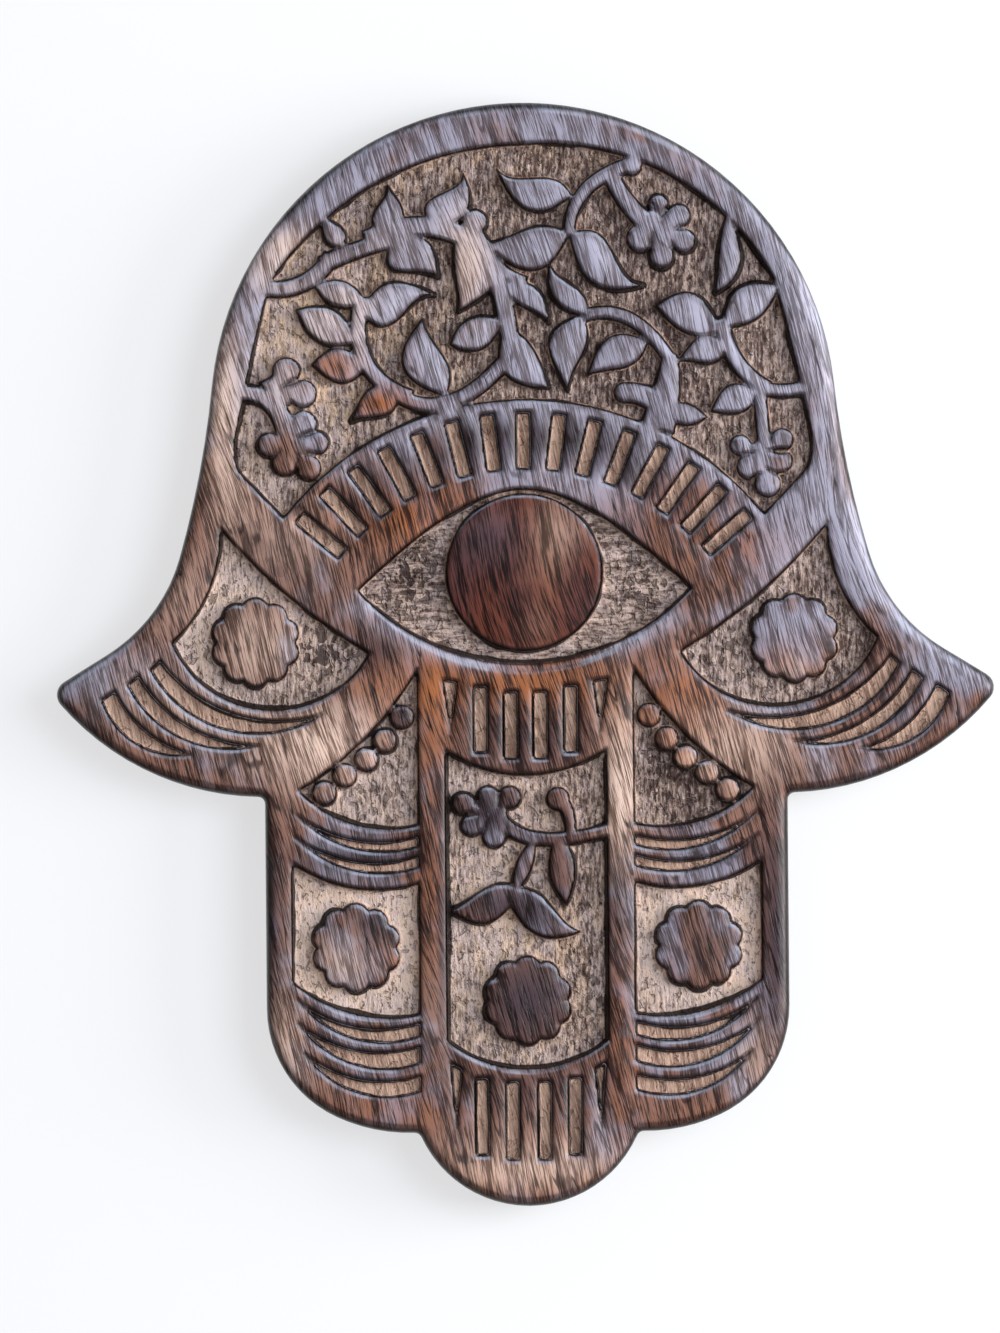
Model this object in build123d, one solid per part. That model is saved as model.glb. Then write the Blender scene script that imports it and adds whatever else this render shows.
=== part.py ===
from build123d import *
import os

# Hamsa hand wall plaque: one carved hardwood board and a ring hanger let into its back.
# Millimetres. +X is right as seen from the front, +Z is up, and the carved front faces -Y.
# The back lies on the plane Y = 0, and the origin is behind the middle of the eye.

# Board
BOARD_THICKNESS = 15.0
EDGE_ROUND = 3.0
DOME_RADIUS = 72.0
DOME_CENTRE_Z = 36.2
DOME_END_ANGLE = 6.0
WING_TIP_X = 109.6
WING_TIP_Z = -26.4
WING_TIP_ROUND = 3.5
PALM_HALF_WIDTH = 60.2
PALM_MARGIN = 6.2
ARMPIT_Z = -51.2
KNUCKLE_Z = -100.0
NOTCH_X = 25.3
NOTCH_Z = -128.8
INNER_CORNER_ROUND = 1.5
FINGER_TIP_Z = -145.9

# Carving
FIELD_DEPTH = 2.8
GROOVE_DEPTH = 2.0
LASH_COUNT = 15
LASH_PITCH = 7.05
LASH_WIDTH = 3.4
LASH_LENGTH = 13.2
LASH_RADIUS = 61.6
LASH_CENTRE_Z = -31.3
IRIS_RADIUS = 18.0
LID_BEVEL = 2.6
PANEL_BEVEL = 1.4
BEVEL_SLOPE = 0.6
BEAD_RADIUS = 2.7
ROSETTE_RADIUS = 10.2
ROSETTE_LOBES = 10
RIB_OUTER = 24.8
RIB_INNER = 18.5

# Hanger pocket and hanger
POCKET_WIDTH = 28.0
POCKET_HEIGHT = 54.0
POCKET_DEPTH = 4.8
POCKET_DROP = 10.2
PIVOT_DROP = 29.2
STRAP_WIDTH = 10.0
STRAP_SHEET = 1.0
STRAP_LENGTH = 29.0
WIRE_RADIUS = 1.0
PIVOT_CLEARANCE = 0.08
RING_HALF_WIDTH = 8.0
RING_DROP = 13.0
RING_CORNER = 2.2
SCREW_RADIUS = 1.5
SCREW_HEAD_RADIUS = 2.8
SCREW_HEAD_HEIGHT = 1.8
SCREW_BITE = 6.0
SCREW_DROPS = (18.5, 25.0)
HOLE_CLEARANCE = 0.05


def both_sides(shape):
    """The shape together with its mirror image across the middle of the hand."""
    return [shape, mirror(shape, about=Plane.YZ)]


def leaf(base, tip, left, right):
    """A pointed leaf; left and right give the swell of each side near the base and near the tip."""
    start = Vector(*base)
    end = Vector(*tip)
    along = end - start
    across = Vector(-along.Y, along.X).normalized()

    def side(swell, sign):
        near_base = start + along / 3 + across * swell[0] * sign
        near_tip = start + along * 2 / 3 + across * swell[1] * sign
        return Bezier(start, near_base, near_tip, end)

    return make_face([side(left, 1), side(right, -1)])


def stem(start, middle, end, width, end_width):
    """A bent stalk through three points, its width running from one value to the other."""
    first = Vector(*start)
    centre = Vector(*middle)
    last = Vector(*end)

    def across(direction):
        return Vector(-direction.Y, direction.X).normalized()

    def side(sign):
        near = first + across(centre - first) * width / 2 * sign
        mid = centre + across(last - first) * (width + end_width) / 4 * sign
        far = last + across(last - centre) * end_width / 2 * sign
        return Bezier(near, mid * 2 - (near + far) / 2, far)

    upper = side(1)
    lower = side(-1)
    return make_face([upper, lower, Line(upper @ 0, lower @ 0), Line(upper @ 1, lower @ 1)])


def dot(x, z, radius):
    """A round petal, bud or bead."""
    return Pos(x, z) * Circle(radius)


def slit(outer, inner, width):
    """A cut between two petals that runs in to a point."""
    swell = (width * 2 / 3, width / 3)
    return leaf(outer, inner, swell, swell)


def rosette(x, z, turn):
    """A scalloped flower head: round lobes set about a disc."""
    lobe = 0.3 * ROSETTE_RADIUS
    lobes = PolarLocations(ROSETTE_RADIUS - lobe, ROSETTE_LOBES, start_angle=turn) * Circle(lobe)
    return Pos(x, z) * (Circle(0.8 * ROSETTE_RADIUS) + lobes)


def groove(inner_start, inner_middle, outer_start, outer_middle, end):
    """A curved groove between two arcs that starts square and runs out to a point."""
    inner = ThreePointArc(inner_start, inner_middle, end)
    outer = ThreePointArc(outer_start, outer_middle, end)
    return make_face([inner, outer, Line(inner_start, outer_start)])


def carve(sketch, depth):
    """The waste cut from the front of the board over a sketch, down to a flat floor."""
    return extrude(Plane.XZ.offset(BOARD_THICKNESS + 1) * sketch, -(depth + 1))


def worn_edge(start, middle, end, width):
    """The waste of a bevel sloping down to the lower arc of a panel, widest in the middle of the arc."""
    edge = ThreePointArc(start, middle, end)
    worn = ThreePointArc(start, edge @ 0.5 + Vector(0, -width), end)
    height = FIELD_DEPTH + 1
    wide = worn.radius + 1 / BEVEL_SLOPE
    cone = Cone(wide - height / BEVEL_SLOPE, wide, height)
    level = Plane.XZ.offset(BOARD_THICKNESS + 1 - height / 2)
    return carve(make_face([edge, worn]), FIELD_DEPTH) & (level * Pos(worn.arc_center) * cone)


# Outline of the hand: dome, flared wings, palm and the three finger ends.
dome = CenterArc((0, DOME_CENTRE_Z), DOME_RADIUS, DOME_END_ANGLE, 90 - DOME_END_ANGLE)
waist = TangentArc(dome @ 0, (DOME_RADIUS + 7.4, 4), tangent=(dome % 0) * -1)
flare = TangentArc(waist @ 1, (WING_TIP_X - 13.1, WING_TIP_Z + 8.1), tangent=waist % 1)
wing_top = TangentArc(flare @ 1, (WING_TIP_X, WING_TIP_Z), tangent=flare % 1)
wing_bottom = TangentArc((PALM_HALF_WIDTH, ARMPIT_Z), (WING_TIP_X, WING_TIP_Z), tangent=(1, 0))
palm = Line((PALM_HALF_WIDTH, ARMPIT_Z), (PALM_HALF_WIDTH, KNUCKLE_Z))
knuckle = TangentArc(palm @ 1, (PALM_HALF_WIDTH - 16, KNUCKLE_Z - 25.1), tangent=palm % 1)
finger_end = TangentArc(knuckle @ 1, (NOTCH_X, NOTCH_Z), tangent=knuckle % 1)
middle_tip = ThreePointArc((NOTCH_X, NOTCH_Z), (16.5, -140.3), (0, FINGER_TIP_Z))
right_side = Curve() + [
    dome, waist, flare, wing_top, wing_bottom, palm, knuckle, finger_end, middle_tip
]
outline = make_face(right_side.edges() + mirror(right_side, about=Plane.YZ).edges())
wing_tips = outline.vertices().sort_by(Axis.X)
outline = fillet([wing_tips[0], wing_tips[-1]], WING_TIP_ROUND)
for x, z in ((PALM_HALF_WIDTH, ARMPIT_Z), (NOTCH_X, NOTCH_Z)):
    for side_x in (x, -x):
        corner = outline.vertices().sort_by_distance((side_x, z))[0]
        outline = fillet(corner, INNER_CORNER_ROUND)

# The vine field in the dome, with its stalks, leaves and flowers left standing.
field_side = Curve() + [
    ThreePointArc((58, 67), (62.7, 48.5), (66.4, 30.5)),
    ThreePointArc((66.4, 30.5), (66.4, 26.6), (65.2, 23.3)),
    Line((65.2, 23.3), (55.3, 12.8)),
]
field_top = [
    ThreePointArc((-58, 67), (-30, 91.5), (0, 98.4)),
    ThreePointArc((0, 98.4), (35.5, 90.4), (58, 67)),
]
brow = ThreePointArc((55.3, 12.8), (0, 39.7), (-55.3, 12.8))
field_sides = field_side.edges() + mirror(field_side, about=Plane.YZ).edges()
vine_field = make_face(field_top + field_sides + [brow])
vine_leaves = [
    leaf((-32.5, 78), (-30.6, 88.9), (5.5, -0.5), (7.5, 4.5)),
    leaf((-20, 79), (-13.3, 91.8), (11, -3), (6, 6.5)),
    leaf((-29.5, 77.5), (-19.4, 68.2), (6.2, 5.3), (13, -0.3)),
    leaf((-41, 75), (-45.8, 82.4), (4.6, 1.6), (4.5, 1)),
    leaf((-14, 79), (-14.7, 60), (13, 11), (3.5, -0.5)),
    leaf((-3.5, 67), (6.1, 57.3), (5.6, 3.9), (5, -1)),
    leaf((10.8, 77.8), (-8, 75.5), (10.9, 8.5), (5.5, 0.5)),
    leaf((-36, 62.5), (-47.7, 66.2), (4, 4), (4, 4.2)),
    leaf((-37, 60), (-20.2, 64), (8, 5.5), (11, -2.8)),
    leaf((-38.5, 53), (-51.9, 60.8), (5.2, 5), (5.7, 5.5)),
    leaf((-36, 47.5), (-48.4, 48.2), (6.5, 4), (5, 5.5)),
    leaf((-18, 40.8), (-22.8, 58.4), (9.6, 10), (6.5, -1)),
    leaf((-28.5, 41.2), (-39.5, 35.2), (6, 0.3), (8, 3)),
    leaf((-4.5, 58), (-16.6, 52.5), (4.5, 6), (4.2, 5)),
    leaf((-4, 56.5), (6, 42.3), (4.2, 2), (8.7, 7.9)),
    leaf((11.5, 86.5), (-5.7, 93), (10.4, 6.7), (6.6, -4)),
    leaf((11.2, 77.8), (28, 65.9), (10.3, -4.7), (7.4, 9.2)),
    leaf((14.8, 58.8), (6.5, 70.8), (5, 5.2), (5.5, -1.5)),
    leaf((28.7, 52.8), (15.1, 45.4), (6, 0.8), (8, 5.2)),
    leaf((13.5, 59), (10.4, 41.6), (6, -1), (11.2, 4.2)),
    leaf((47.5, 82.5), (44.5, 63.9), (3.7, 8.4), (1.5, 0)),
    leaf((46.3, 56), (59, 65.5), (6.6, 6.5), (4.2, 4)),
    leaf((45.6, 55), (31, 61), (5, 3.5), (5.6, 9.5)),
    leaf((47, 52), (35.7, 48.1), (6.5, 0), (7, 2.5)),
    leaf((53.5, 41.3), (43.3, 36.6), (6, 2), (6, 3.5)),
    leaf((32.5, 36.4), (42.4, 35.4), (4.5, 2.5), (3.5, 3)),
]
vine_stalks = [
    stem((-61, 66.2), (-51.5, 66.4), (-44, 72.5), 3.6, 4),
    stem((-46, 71), (-38.5, 74.2), (-29, 77), 4, 3.6),
    stem((-36, 76.5), (-23, 79.8), (-10, 75.5), 4.5, 4.5),
    stem((-12, 79), (-5.5, 66.5), (-2.5, 50), 4.5, 4),
    stem((-9, 75), (-5.2, 69.8), (1, 67), 4, 2.2),
    stem((-36.8, 63.5), (-36.3, 49), (-26, 40.6), 3.6, 3.6),
    stem((-30, 42), (-17.5, 39), (-3.5, 49), 3.6, 3.6),
    stem((-65, 41.8), (-57.5, 39), (-54, 30), 3.4, 5),
    stem((-59, 42), (-56, 44), (-54.4, 46.7), 5, 4.5),
    stem((27, 94), (15, 88), (11, 77.5), 3.6, 2.6),
    stem((20.5, 91.5), (24.3, 85), (30, 79), 3.6, 4.5),
    stem((14.5, 59), (25, 58), (34, 48.5), 3, 3),
    stem((33.8, 50), (33.4, 43), (30.8, 32.5), 3.2, 8),
    stem((32, 37.6), (28, 40.4), (23.4, 41.1), 5, 4.6),
    stem((45.8, 58), (49, 48.5), (56, 42), 3.6, 3.6),
    stem((53, 43.2), (58.5, 41.3), (66, 42.2), 3.2, 2.8),
    stem((54.6, 41.5), (54.9, 36), (55.5, 29), 2.8, 3),
]
vine_flowers = [
    dot(-10.7, 80.7, 2.7),
    dot(-54.4, 46.7, 3.1),
    dot(-50.6, 41.5, 3.1),
    dot(-55.8, 42, 3.6),
    dot(-50.5, 34.6, 2.9),
    dot(-47.6, 30.1, 2.7),
    dot(-58.3, 29.8, 2.7),
    dot(-55, 25.5, 2.8),
    dot(-49.4, 24.4, 2.8),
    dot(-53.4, 29.9, 4.2),
    dot(23.4, 41.1, 2.3),
    dot(31.6, 84.4, 2.2),
    dot(36.2, 81.7, 2.6),
    dot(37.4, 75.9, 2.6),
    dot(32.2, 72.5, 2.7),
    dot(27.2, 76.6, 3),
    dot(31.6, 78.6, 4.8),
    dot(50, 28.8, 2.3),
    dot(52, 23.8, 2.8),
    dot(56.2, 19.8, 2.9),
    dot(59.2, 25.2, 2.7),
    dot(59.6, 30, 2.5),
    dot(55.6, 25.6, 4.4),
]
vine_knots = [
    dot(25.5, 93.4, 2.2),
    dot(-37.6, 50, 1.6),
]
vine_slits = [
    slit((-50.2, 45.4), (-55.4, 43), 1.2),
    slit((-47, 33), (-52, 31.4), 1.1),
    slit((-45.6, 27.2), (-50.2, 27.6), 1),
    slit((-52.2, 22.4), (-52.1, 26.4), 1),
    slit((-58.4, 26.2), (-56, 28.4), 0.8),
    slit((35.2, 85.6), (32.2, 81.4), 1.3),
    slit((28.8, 85.8), (31.6, 82.2), 0.9),
    slit((39, 79), (35.4, 78.6), 1),
    slit((29, 72.8), (30.2, 77.6), 1),
    slit((35.4, 73), (34.4, 75.6), 0.8),
    slit((49.4, 26), (53.4, 27.3), 1),
    slit((62, 27.2), (56.2, 27.5), 1.7),
    slit((60, 21), (55.8, 23.4), 0.9),
    slit((51.6, 20.6), (54.6, 22.4), 0.9),
]
vine = vine_leaves + vine_stalks + vine_flowers + vine_knots
vine_floor = vine_field - vine + vine_slits

# The lash slots over the eye, and the eye itself with the iris left standing.
lash_slot = Pos(LASH_RADIUS, 0) * Rectangle(LASH_LENGTH, LASH_WIDTH)
lashes = [
    Pos(0, LASH_CENTRE_Z) * Rot(0, 0, 90 + LASH_PITCH * (i - (LASH_COUNT - 1) / 2)) * lash_slot
    for i in range(LASH_COUNT)
]
upper_lid = Spline(
    (-38.5, -3.9),
    (-27.4, 5.9),
    (-17.1, 13.3),
    (0, 19.2),
    (17.1, 13.3),
    (27.4, 5.9),
    (38.5, -3.9),
)
lower_lid = ThreePointArc((38.5, -3.9), (0, -20.8), (-38.5, -3.9))
eye_floor = make_face([upper_lid, lower_lid]) - Circle(IRIS_RADIUS)

# Wing panels with a rosette, and three tapering grooves under each.
wing_panel = make_face([
    ThreePointArc((69.8, 10.8), (72.6, -3.6), (81.2, -15.6)),
    ThreePointArc((81.2, -15.6), (59.5, -31.1), (35.7, -18.4)),
    ThreePointArc((35.7, -18.4), (51.3, -7.6), (69.8, 10.8)),
])
wing_floor = wing_panel - rosette(62, -15.7, 90)
wing_grooves = [
    groove((84, -19.5), (68.5, -31.6), (86.3, -21.8), (71.3, -35), (46.5, -32.2)),
    groove((89, -23), (77, -35.2), (91.6, -25.1), (80, -37.2), (61.5, -39.4)),
    groove((94.5, -26.5), (86.5, -36.6), (97.6, -28.5), (90, -38.6), (77, -41.3)),
]

# Side fingers: beaded triangle, two grooves, a rosette panel and three grooves.
palm_edge = PALM_HALF_WIDTH - PALM_MARGIN
triangle_panel = make_face([
    ThreePointArc((RIB_OUTER, -22), (38, -38.8), (palm_edge - 1.6, -49.8)),
    ThreePointArc((palm_edge - 1.6, -49.8), (41, -57.1), (RIB_OUTER, -58)),
    Line((RIB_OUTER, -58), (RIB_OUTER, -22)),
])
beads = [
    dot(28.4, -33.1, BEAD_RADIUS),
    dot(32.4, -38.5, BEAD_RADIUS),
    dot(36.8, -42.8, BEAD_RADIUS),
    dot(41.7, -46.4, BEAD_RADIUS),
    dot(46.4, -50.4, BEAD_RADIUS),
]
triangle_floor = triangle_panel - beads
side_panel = make_face([
    ThreePointArc((RIB_OUTER, -71.3), (38, -72.6), (palm_edge, -66.4)),
    Line((palm_edge, -66.4), (palm_edge, -94)),
    ThreePointArc((palm_edge, -94), (38, -101.6), (RIB_OUTER, -101.7)),
    Line((RIB_OUTER, -101.7), (RIB_OUTER, -71.3)),
])
side_floor = side_panel - rosette(39.4, -86.2, 90)
finger_grooves = [
    groove((RIB_OUTER, -60.5), (36, -61.8), (RIB_OUTER, -62.9), (36, -64), (palm_edge - 1, -55.3)),
    groove((RIB_OUTER, -65), (37, -66.6), (RIB_OUTER, -67.7), (36, -69), (palm_edge - 0.8, -60.6)),
    groove((RIB_OUTER, -103.4), (36, -104.8), (RIB_OUTER, -106.6), (36, -107.9), (palm_edge - 1, -98)),
    groove((RIB_OUTER, -108.8), (36, -110.2), (RIB_OUTER, -112.8), (36, -113.9), (palm_edge - 1, -103.3)),
    groove((RIB_OUTER, -115.6), (36, -116.8), (RIB_OUTER, -119.3), (36, -120.3), (palm_edge - 2.5, -110.3)),
]

# Middle finger: slots, the sprig panel and slots again.
sprig_panel = make_face([
    ThreePointArc((-RIB_INNER, -40.8), (0, -46.6), (RIB_INNER, -40.8)),
    Line((RIB_INNER, -40.8), (RIB_INNER, -107.8)),
    ThreePointArc((RIB_INNER, -107.8), (0, -114.2), (-RIB_INNER, -107.8)),
    Line((-RIB_INNER, -107.8), (-RIB_INNER, -40.8)),
])
sprig = [
    dot(-14.4, -53.2, 2.5),
    dot(-8.8, -51.7, 2.5),
    dot(-3.8, -51.8, 2.5),
    dot(-12.6, -58.2, 2.4),
    dot(-7.5, -60.8, 2.6),
    dot(-8.7, -55.9, 4.2),
    stem((-6, -56.5), (3, -61.4), (20, -59.2), 3.6, 2.6),
    dot(7.3, -52.2, 2.6),
    stem((7.3, -52.2), (9.6, -55.5), (10, -60.5), 3.4, 2.2),
    leaf((1.8, -61.5), (-3.2, -74), (2.4, 2.4), (2.6, 2.4)),
    leaf((6.9, -60.6), (9.1, -76.6), (5.4, 3), (3.6, 4)),
    leaf((-1.5, -73), (-17.6, -77.8), (5.5, 8), (6, 0.5)),
    leaf((-5, -73.5), (12.2, -82.8), (8, -1.5), (6, 8)),
    rosette(0, -98.6, 90),
]
sprig_slits = [
    slit((-12, -49.4), (-10.8, -54), 1),
    slit((-6.1, -48.9), (-6.5, -53.8), 1),
    slit((-16, -55.8), (-11.4, -55.5), 1),
    slit((-10.8, -61.4), (-9.2, -57.4), 0.9),
]
sprig_floor = sprig_panel - sprig + sprig_slits
upper_slots = [
    Pos(3.4, -35.2) * Rectangle(3.3, 15.6),
    Pos(10.4, -33.8) * Rectangle(3.3, 15.6),
    make_face([Polyline((15.6, -25), (19, -24.6), (17.2, -36.6), close=True)]),
]
lower_slots = [
    Pos(3.7, -126.2) * Rectangle(3.2, 18.2),
    Pos(10.7, -125.2) * Rectangle(3.2, 18),
    make_face([Polyline((15.2, -114.2), (18, -112.6), (16.7, -127.6), close=True)]),
]

# Worn bevels under the eye and under the panels.
middle_bevels = [
    worn_edge((38.5, -3.9), (0, -20.8), (-38.5, -3.9), LID_BEVEL),
    worn_edge((RIB_INNER, -107.8), (0, -114.2), (-RIB_INNER, -107.8), PANEL_BEVEL),
]
side_bevels = [
    worn_edge((81.2, -15.6), (59.5, -31.1), (35.7, -18.4), PANEL_BEVEL),
    worn_edge((palm_edge - 1.6, -49.8), (41, -57.1), (RIB_OUTER, -58), PANEL_BEVEL),
    worn_edge((palm_edge, -94), (38, -101.6), (RIB_OUTER, -101.7), PANEL_BEVEL),
]

# The board: rounded front edge, carved floors, then the hanger pocket and its screw holes.
board = extrude(Plane.XZ * outline, BOARD_THICKNESS)
front_edges = board.faces().sort_by(Axis.Y)[0].edges()
board = fillet(front_edges, EDGE_ROUND)
board -= carve(vine_floor, FIELD_DEPTH)
board -= carve(eye_floor, FIELD_DEPTH)
board -= carve(sprig_floor, FIELD_DEPTH)
for floor in (wing_floor, triangle_floor, side_floor):
    for panel in both_sides(floor):
        board -= carve(panel, FIELD_DEPTH)
for slot in lashes:
    board -= carve(slot, GROOVE_DEPTH)
for cut in wing_grooves + finger_grooves + upper_slots + lower_slots:
    for side in both_sides(cut):
        board -= carve(side, GROOVE_DEPTH)

for bevel in middle_bevels:
    board -= bevel
for bevel in side_bevels:
    board -= both_sides(bevel)

# The hanger hangs at a fixed drop from the top of the dome.
dome_top = DOME_CENTRE_Z + DOME_RADIUS
pivot_z = dome_top - PIVOT_DROP
pocket_middle = dome_top - POCKET_DROP - POCKET_HEIGHT / 2
pocket = Pos(0, pocket_middle) * SlotOverall(POCKET_HEIGHT, POCKET_WIDTH, 90)
board -= extrude(Plane.XZ.offset(-1) * pocket, POCKET_DEPTH + 1)
for drop in SCREW_DROPS:
    hole = Pos(0, pivot_z - drop) * Circle(SCREW_RADIUS + HOLE_CLEARANCE)
    board -= extrude(Plane.XZ.offset(POCKET_DEPTH) * hole, SCREW_BITE + 0.5)

# The strap: a flat tongue on the pocket floor, rolled into a barrel round the ring's straight side.
floor_y = -POCKET_DEPTH
bore = WIRE_RADIUS + PIVOT_CLEARANCE
roll = bore + STRAP_SHEET
pivot_y = floor_y + roll
tongue = Pos(floor_y + STRAP_SHEET / 2, pivot_z - STRAP_LENGTH / 2) * Rectangle(STRAP_SHEET, STRAP_LENGTH)
barrel = Pos(pivot_y, pivot_z) * Circle(roll)
bore_circle = Pos(pivot_y, pivot_z) * Circle(bore)
roll_gap = Pos(floor_y + STRAP_SHEET + 0.15, pivot_z - roll) * Rectangle(0.3, roll * 2)
strap = extrude(Plane.YZ * ((barrel - roll_gap) + tongue - bore_circle), STRAP_WIDTH / 2, both=True)
strap = fillet(strap.edges().filter_by(Axis.Y).group_by(Axis.Z)[0], STRAP_WIDTH / 2 - 0.5)
for drop in SCREW_DROPS:
    hole = Pos(0, pivot_z - drop) * Circle(SCREW_RADIUS + 0.2)
    strap -= extrude(Plane.XZ.offset(POCKET_DEPTH + 1) * hole, -(STRAP_SHEET + 2))

# The ring: round wire bent to a D, hanging from its straight side.
bow_drop = RING_DROP - RING_HALF_WIDTH
corner_x = RING_HALF_WIDTH - RING_CORNER
half_turn = 0.5 ** 0.5
ring_path = Curve() + [
    Line((-corner_x, 0), (corner_x, 0)),
    ThreePointArc(
        (corner_x, 0),
        (corner_x + RING_CORNER * half_turn, -RING_CORNER * (1 - half_turn)),
        (RING_HALF_WIDTH, -RING_CORNER),
    ),
    Line((RING_HALF_WIDTH, -RING_CORNER), (RING_HALF_WIDTH, -bow_drop)),
    ThreePointArc((RING_HALF_WIDTH, -bow_drop), (0, -RING_DROP), (-RING_HALF_WIDTH, -bow_drop)),
    Line((-RING_HALF_WIDTH, -bow_drop), (-RING_HALF_WIDTH, -RING_CORNER)),
    ThreePointArc(
        (-RING_HALF_WIDTH, -RING_CORNER),
        (-corner_x - RING_CORNER * half_turn, -RING_CORNER * (1 - half_turn)),
        (-corner_x, 0),
    ),
]
ring_plane = Plane((0, pivot_y, pivot_z), x_dir=(1, 0, 0), z_dir=(0, -1, 0))
wire_section = ring_plane * (Pos(-corner_x, 0) * Rot(0, 90, 0) * Circle(WIRE_RADIUS))
ring = sweep(wire_section, path=ring_plane * ring_path)

# The two pan-head screws, drawn along their own axis and set into the strap.
screw_profile = make_face([
    Polyline(
        (0, SCREW_HEAD_HEIGHT),
        (0, -STRAP_SHEET - SCREW_BITE),
        (SCREW_RADIUS, -STRAP_SHEET - SCREW_BITE + 2 * SCREW_RADIUS),
        (SCREW_RADIUS, 0),
        (SCREW_HEAD_RADIUS, 0),
        (SCREW_HEAD_RADIUS, SCREW_HEAD_HEIGHT / 2),
        (SCREW_HEAD_RADIUS * 0.65, SCREW_HEAD_HEIGHT),
        close=True,
    ),
])
screw = revolve(Plane.XZ * screw_profile, Axis.Z)
screw -= Pos(0, 0, SCREW_HEAD_HEIGHT) * Box(0.8, 2 * SCREW_HEAD_RADIUS, 1.6)
seat_y = floor_y + STRAP_SHEET
screws = Compound(
    children=[Pos(0, seat_y, pivot_z - drop) * Rot(-90, 0, 0) * screw for drop in SCREW_DROPS]
)

os.makedirs("parts", exist_ok=True)
export_step(board, "parts/carved_board.step")
export_step(strap, "parts/hanger_strap.step")
export_step(ring, "parts/hanger_ring.step")
export_step(screws, "parts/strap_screws.step")
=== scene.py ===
"""Looks of a carved hamsa hand plaque: burnt and waxed wood in front, a plated ring hanger behind."""
import math

import bmesh
import bpy
import numpy as np
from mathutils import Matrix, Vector, kdtree


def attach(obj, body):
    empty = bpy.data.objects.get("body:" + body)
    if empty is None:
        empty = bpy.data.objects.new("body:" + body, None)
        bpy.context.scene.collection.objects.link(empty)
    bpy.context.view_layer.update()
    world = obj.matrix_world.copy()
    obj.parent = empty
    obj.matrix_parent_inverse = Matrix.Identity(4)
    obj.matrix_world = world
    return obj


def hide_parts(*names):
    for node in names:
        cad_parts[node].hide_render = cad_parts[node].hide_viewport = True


MM = 0.001

# Carved board, in millimetres
FRONT_LEVEL = -15.0
SLOT_FLOOR_LEVEL = -13.0
CARVING_BACK = -11.0
RIDGE_TO_FLOOR = (-14.2, -13.4)
SLOT_TO_FIELD = (-12.95, -12.6)
TOP_TO_SIDE = (-14.45, -13.5)
SIDE_TO_BACK = (-1.0, -0.2)
POCKET_HALF_WIDTH = 16.0
POCKET_BOTTOM = 38.0
POCKET_TOP = 104.0
POCKET_FLOOR = -6.0
WELD = 0.001
CELL = 0.45
MOST_TRIANGLES = 195000
EDGE_SAMPLE = 0.3
EDGE_REACH = 6.0
EDGE_ROUND = 1.0
EDGE_WANDER = 5.0
EDGE_DROP = 0.4
CROWN_DROP = 0.65
SWAY_DROP = 0.25
SWAY_WIDTH = 11.0
SWAY_LENGTH = 14.0
COVE_REACH = 1.1
COVE_RISE = 1.3
GOUGE_DEPTH = 0.45
GOUGE_WIDTH = 3.0
GOUGE_LENGTH = 4.5
IRIS_RADIUS = 18.0
IRIS_CROWN = 0.8
LID_CURVE = 97.0
LID_INSIDE = 20.5
LID_OUTSIDE = 23.0
LIGHT_SIDE = (0.2, 0.0, 0.98)
GRAIN_ANGLE = math.radians(15)
KNOTS = 128

# Patches of stain and of painted highlight, sheen and shadow, in millimetres: centre x and z, reach in x
# and z, strength
LASH_SLATS = tuple((x, 30.5 - x * x / 95, 5, 5, 0.6) for x in range(-38, 39, 8))
LASH_BAND_TOP = tuple((x, 38.3 - x * x / 112, 5, 2.5, 0.65) for x in range(-40, 41, 8))
LOWER_LID = tuple((x, x * x / 97 - 21.4, 5, 2.2, 0.8) for x in (-36, -30, -24, -18, -12, -6, 20, 26, 32))
ROSETTES = ((-62, -16), (62, -16), (-39, -86), (39, -86), (0, -99))
ROSETTE_SHADOWS = tuple((x - 6, z + 5, 6, 6, 0.9) for x, z in ROSETTES)
# Raised wood stained orange brown, nearly black, pale or grey violet; the grey violet is partly a painted
# sheen
WARM_PATCHES = (
    (-26, 13, 16, 8, 0.9), (28, 12, 12, 7, 0.6), (-21.5, -32, 5, 14, 0.75), (21.5, -38, 5, 14, 0.6),
    (0, -25, 24, 5, 0.75), (-44, 48, 7, 5, 0.8), (-33, 39, 9, 4, 1.0), (-36, -28, 9, 9, 0.45),
    (37, -30, 10, 9, 0.6), (0, -139, 22, 7, 0.6), (36.8, -42.8, 12, 10, 0.8), (-40, -43, 8, 7, 0.8),
    (-21.5, -75, 4, 16, 0.6), (0, -32, 16, 9, 0.2), (21.5, -110, 4, 16, 0.4), (50, 5, 12, 6, 0.4),
    (-30, -123, 14, 5, 0.4), (34, -122, 14, 5, 0.2), (5, 2, 3, 14, 1.0), (-36, -89, 5, 5, 0.4),
    (59, -22, 6, 5, 0.7),
)
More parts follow.
